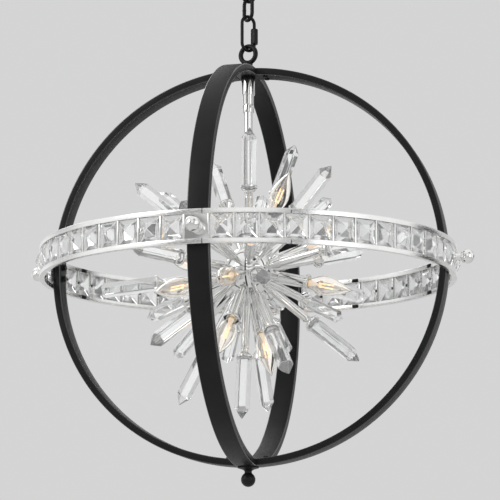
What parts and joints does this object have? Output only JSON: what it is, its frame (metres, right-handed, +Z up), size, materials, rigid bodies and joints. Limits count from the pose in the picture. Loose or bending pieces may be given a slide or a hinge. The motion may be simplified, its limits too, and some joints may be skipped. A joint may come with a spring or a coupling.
{
  "type": "orb chandelier",
  "caption": "Orb chandelier: two crossed black hoops, a level band of square crystals and a starburst of lamps and crystal spikes, hung by chain and quick link from a canopy.",
  "frame": {"origin": "on the ceiling, midway between the two ceiling box screws", "axes": "+Z up, out of the canopy into the ceiling; the continuous hoop stands in the YZ plane, the hoop made of two halves in the XZ plane, and -Y is the front seen in the picture, turned 13 degrees towards +X"},
  "size_m": [0.824, 0.824, 1.0083],
  "materials": {
    "black_metal": "satin black powder coat",
    "chrome": "polished chrome plate",
    "plain_steel": "zinc-plated steel",
    "crystal": "clear faceted crystal glass",
    "amber_glass": "amber-tinted clear bulb glass",
    "brass_cap": "bright brass bulb cap",
    "socket": "black phenolic lamp holder",
    "filament": "glass post and warm filament"
  },
  "bodies": {
    "ceiling_fitting": {"ceiling_canopy": "black_metal", "mounting_crossbar": "plain_steel", "ground_screw": "plain_steel", "hanging_nipple": "plain_steel", "nipple_lock_nut": "plain_steel", "canopy_lock_ring": "black_metal", "canopy_loop": "black_metal"},
    "chain_link_upper": {"chain_link_upper": "black_metal"},
    "chain_link_lower": {"chain_link_lower": "black_metal"},
    "quick_link": {"quick_link": "black_metal"},
    "quick_link_sleeve": {"quick_link_sleeve": "black_metal"},
    "orb": {"ball_screws": "chrome", "band_bars": "chrome", "band_crystals_back_left": "crystal", "band_crystals_back_right": "crystal", "band_crystals_front_left": "crystal", "band_crystals_front_right": "crystal", "block_bolts": "black_metal", "bottom_joint_strap": "black_metal", "bulb_caps": "brass_cap", "bulb_filaments": "filament", "bulb_glasses": "amber_glass", "candle_sleeves": "chrome", "crossing_blocks": "chrome", "crossing_plates": "chrome", "drip_rings": "chrome", "finial": "black_metal", "finial_nut": "black_metal", "front_back_hoop": "black_metal", "hub_collar": "chrome", "hub_lower_shell": "chrome", "hub_tie_rod": "plain_steel", "hub_upper_shell": "chrome", "joint_strap_screws": "black_metal", "lamp_arms": "chrome", "lamp_sockets": "socket", "left_hoop": "black_metal", "lower_rim_left": "chrome", "lower_rim_right": "chrome", "orb_loop": "black_metal", "right_hoop": "black_metal", "spike_crystals_lower": "crystal", "spike_crystals_middle": "crystal", "spike_crystals_upper": "crystal", "spike_cups_lower": "chrome", "spike_cups_middle": "chrome", "spike_cups_upper": "chrome", "spike_rods_lower": "chrome", "spike_rods_middle": "chrome", "spike_rods_upper": "chrome", "stem_coupling": "chrome", "stem_lock_ring": "black_metal", "stem_tube": "chrome", "top_joint_strap": "black_metal", "upper_rim_left": "chrome", "upper_rim_right": "chrome"}
  },
  "joints": [
    {"name": "upper_link_swing", "type": "hinge", "parent": "ceiling_fitting", "child": "chain_link_upper", "pos_m": [0, 0, -0.075], "axis": [-0.7314, 0.682, 0], "range_deg": [-45, 45]},
    {"name": "lower_link_swing", "type": "hinge", "parent": "chain_link_upper", "child": "chain_link_lower", "pos_m": [0, 0, -0.1107], "axis": [0.682, 0.7314, 0], "range_deg": [-45, 45]},
    {"name": "quick_link_swing", "type": "hinge", "parent": "chain_link_lower", "child": "quick_link", "pos_m": [0, 0, -0.1464], "axis": [-0.7314, 0.682, 0], "range_deg": [-45, 45]},
    {"name": "sleeve_slide", "type": "slide", "parent": "quick_link", "child": "quick_link_sleeve", "axis": [0, 0, 1], "range_m": [0, 0.008]},
    {"name": "orb_swing", "type": "hinge", "parent": "quick_link", "child": "orb", "pos_m": [0, 0, -0.2046], "axis": [0.682, 0.7314, 0], "range_deg": [-40, 40]}
  ]
}
